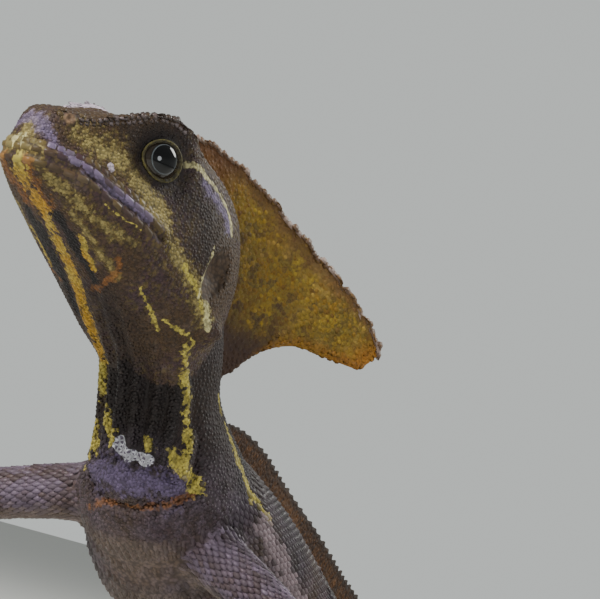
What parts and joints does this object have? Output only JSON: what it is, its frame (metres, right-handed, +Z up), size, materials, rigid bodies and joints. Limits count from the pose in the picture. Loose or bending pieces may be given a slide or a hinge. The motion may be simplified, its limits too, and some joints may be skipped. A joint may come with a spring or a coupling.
{
  "type": "common basilisk lizard",
  "caption": "Life-size still figure of an adult male common basilisk with a triangular head crest and ray-stiffened back sail, chest raised on sprawled forelegs.",
  "frame": {"origin": "on the floor, under the middle of the box round the whole animal", "axes": "+Z up from the floor, the animal's chest and hips face -Y, its left side is +X"},
  "size_m": [0.3936, 0.3218, 0.1052],
  "materials": {
    "hide": "fine dry scales, satin",
    "crest": "thin scaly skin, satin",
    "sail": "thin scaly skin over stiff rays, satin",
    "eye": "wet gloss"
  },
  "bodies": {
    "root": {"head": "hide", "neck": "hide", "chest": "hide", "belly": "hide", "hips": "hide", "tail_1": "hide", "tail_2": "hide", "tail_3": "hide", "tail_4": "hide", "tail_5": "hide", "tail_6": "hide", "upper_arm_left": "hide", "forearm_left": "hide", "hand_left": "hide", "thigh_left": "hide", "shank_left": "hide", "foot_left": "hide", "upper_arm_right": "hide", "forearm_right": "hide", "hand_right": "hide", "thigh_right": "hide", "shank_right": "hide", "foot_right": "hide", "head_crest": "crest", "back_sail": "sail", "tail_fin_1": "sail", "tail_fin_2": "sail", "eye_left": "eye", "eye_right": "eye"}
  },
  "joints": []
}
